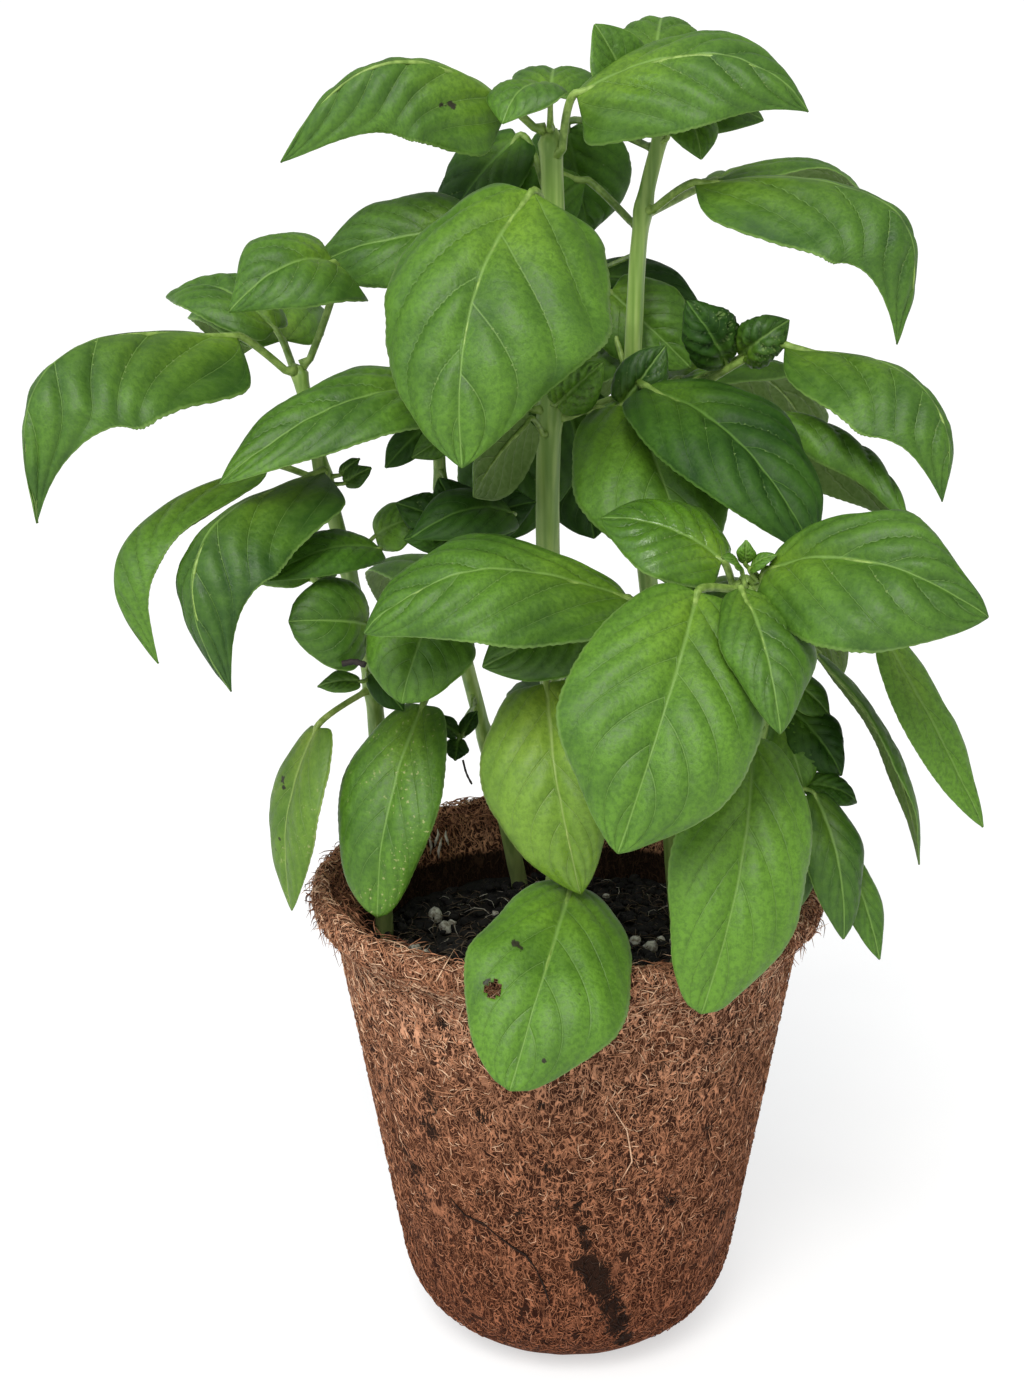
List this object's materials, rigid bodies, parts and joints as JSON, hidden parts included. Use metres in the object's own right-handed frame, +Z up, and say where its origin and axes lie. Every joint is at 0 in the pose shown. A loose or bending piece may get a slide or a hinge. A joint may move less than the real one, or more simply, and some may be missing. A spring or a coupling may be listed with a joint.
{
  "type": "potted basil plant",
  "caption": "Bushy potted basil with broad arching leaves on upright green stems, in a tapered coir fibre pot with a flared ragged lip and dark soil",
  "frame": {"origin": "centre of the pot's flat base, on the surface that the pot stands on", "axes": "+Z up, along the pot's axis; -Y towards the side the plant is seen from, with the leaf that hangs over the lip; +X to the right of it"},
  "size_m": [0.2318, 0.2088, 0.3586],
  "materials": {
    "coir": "matt pressed coconut fibre, loose fibres at the lip",
    "leaf_green": "satin, softly puckered",
    "leaf_dark_green": "satin, softly puckered",
    "leaf_yellow_green": "satin, softly puckered",
    "soil": "loose dark peat and coir crumbs, matt",
    "stem_green": "fine-ribbed, slightly satin"
  },
  "bodies": {
    "root": {"coir_pot": "coir", "leaf_back_crown": "leaf_green", "leaf_back_left_low": "leaf_green", "leaf_back_left_top": "leaf_green", "leaf_back_low": "leaf_green", "leaf_back_middle": "leaf_green", "leaf_back_over_rim": "leaf_dark_green", "leaf_back_right": "leaf_green", "leaf_back_right_low": "leaf_green", "leaf_behind_far_left": "leaf_green", "leaf_behind_right_dark": "leaf_dark_green", "leaf_behind_right_light": "leaf_green", "leaf_centre_cup": "leaf_green", "leaf_centre_right_dark": "leaf_dark_green", "leaf_crown_back": "leaf_green", "leaf_crown_front": "leaf_green", "leaf_crown_left": "leaf_dark_green", "leaf_crown_right": "leaf_green", "leaf_curl_left": "leaf_dark_green", "leaf_far_left_big": "leaf_green", "leaf_front_big": "leaf_green", "leaf_horizontal_light": "leaf_green", "leaf_inner_hanging": "leaf_dark_green", "leaf_left_dark_big": "leaf_green", "leaf_left_inner": "leaf_dark_green", "leaf_left_long": "leaf_green", "leaf_left_low_front": "leaf_green", "leaf_left_mid": "leaf_green", "leaf_left_top_front": "leaf_green", "leaf_low_front": "leaf_green", "leaf_low_left_broad": "leaf_green", "leaf_lower_right_front": "leaf_green", "leaf_right_edge": "leaf_green", "leaf_right_hanging": "leaf_green", "leaf_right_low": "leaf_green", "leaf_right_lower_mid": "leaf_green", "leaf_right_mid": "leaf_green", "leaf_right_upper": "leaf_green", "leaf_rosette_front": "leaf_green", "leaf_rosette_left": "leaf_green", "leaf_rosette_lower": "leaf_green", "leaf_rosette_right": "leaf_green", "leaf_shade_back": "leaf_dark_green", "leaf_shade_left": "leaf_dark_green", "leaf_shade_under_left": "leaf_dark_green", "leaf_shade_under_right": "leaf_dark_green", "leaf_spotted": "leaf_yellow_green", "leaf_top_front_small": "leaf_green", "leaf_top_left": "leaf_green", "leaf_top_right": "leaf_green", "leaf_upper_left_back": "leaf_green", "leaf_yellow_centre": "leaf_yellow_green", "potting_soil": "soil", "stem_back_left": "stem_green", "stem_front": "stem_green", "stem_left": "stem_green", "stem_middle": "stem_green", "stem_right": "stem_green", "stem_rosette": "stem_green"}
  },
  "joints": []
}
